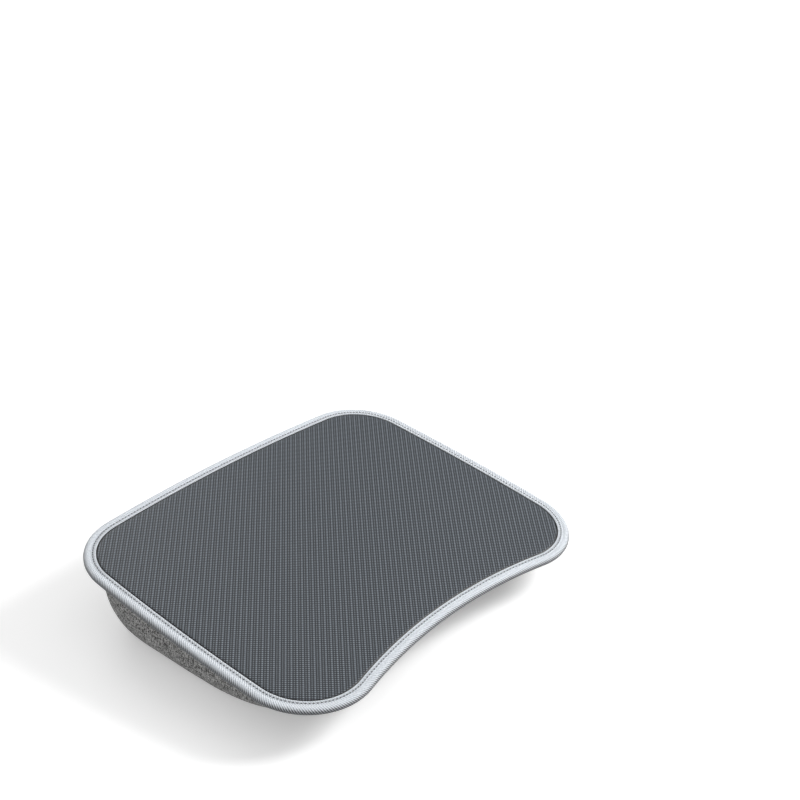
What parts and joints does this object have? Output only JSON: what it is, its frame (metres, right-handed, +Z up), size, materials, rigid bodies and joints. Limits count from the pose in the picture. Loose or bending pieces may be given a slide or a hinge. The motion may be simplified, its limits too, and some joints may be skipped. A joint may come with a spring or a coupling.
{
  "type": "lap tray with cushion",
  "caption": "Flat bound tray with a ribbed top sheet on a soft wedge cushion with a central valley, and a strap handle that swings out at the rear.",
  "frame": {"origin": "middle of the footprint on the surface that the cushion rests on", "axes": "+X to the user's right along the width, +Y away from the user to the handle, +Z up"},
  "size_m": [0.44, 0.353, 0.0818],
  "materials": {
    "carbon_sheet": "satin, ribbed twill",
    "foam": "matte foam",
    "fibreboard": "raw fibreboard",
    "cover_fabric": "heathered linen weave",
    "binding_tape": "twill tape",
    "dark_thread": "sewing thread",
    "bead_filling": "loose bead filling",
    "webbing": "woven webbing"
  },
  "bodies": {
    "tray": {"top_sheet": "carbon_sheet", "top_padding": "foam", "stiffener_board": "fibreboard", "base_cloth": "cover_fabric", "edge_binding": "binding_tape", "needle_thread": "dark_thread", "bobbin_thread": "dark_thread", "cover_rear_panel": "cover_fabric", "cover_front_panel": "cover_fabric", "cover_left_panel": "cover_fabric", "cover_right_panel": "cover_fabric", "cushion_filling": "bead_filling", "valley_tie": "binding_tape", "handle_tails": "cover_fabric"},
    "handle": {"handle_sleeve": "cover_fabric", "handle_core": "webbing", "handle_thread": "dark_thread"}
  },
  "joints": [
    {"name": "handle_swing", "type": "hinge", "parent": "tray", "child": "handle", "pos_m": [0, 0.16117, 0.07041], "axis": [1, 0, 0], "range_deg": [0, 96]}
  ]
}
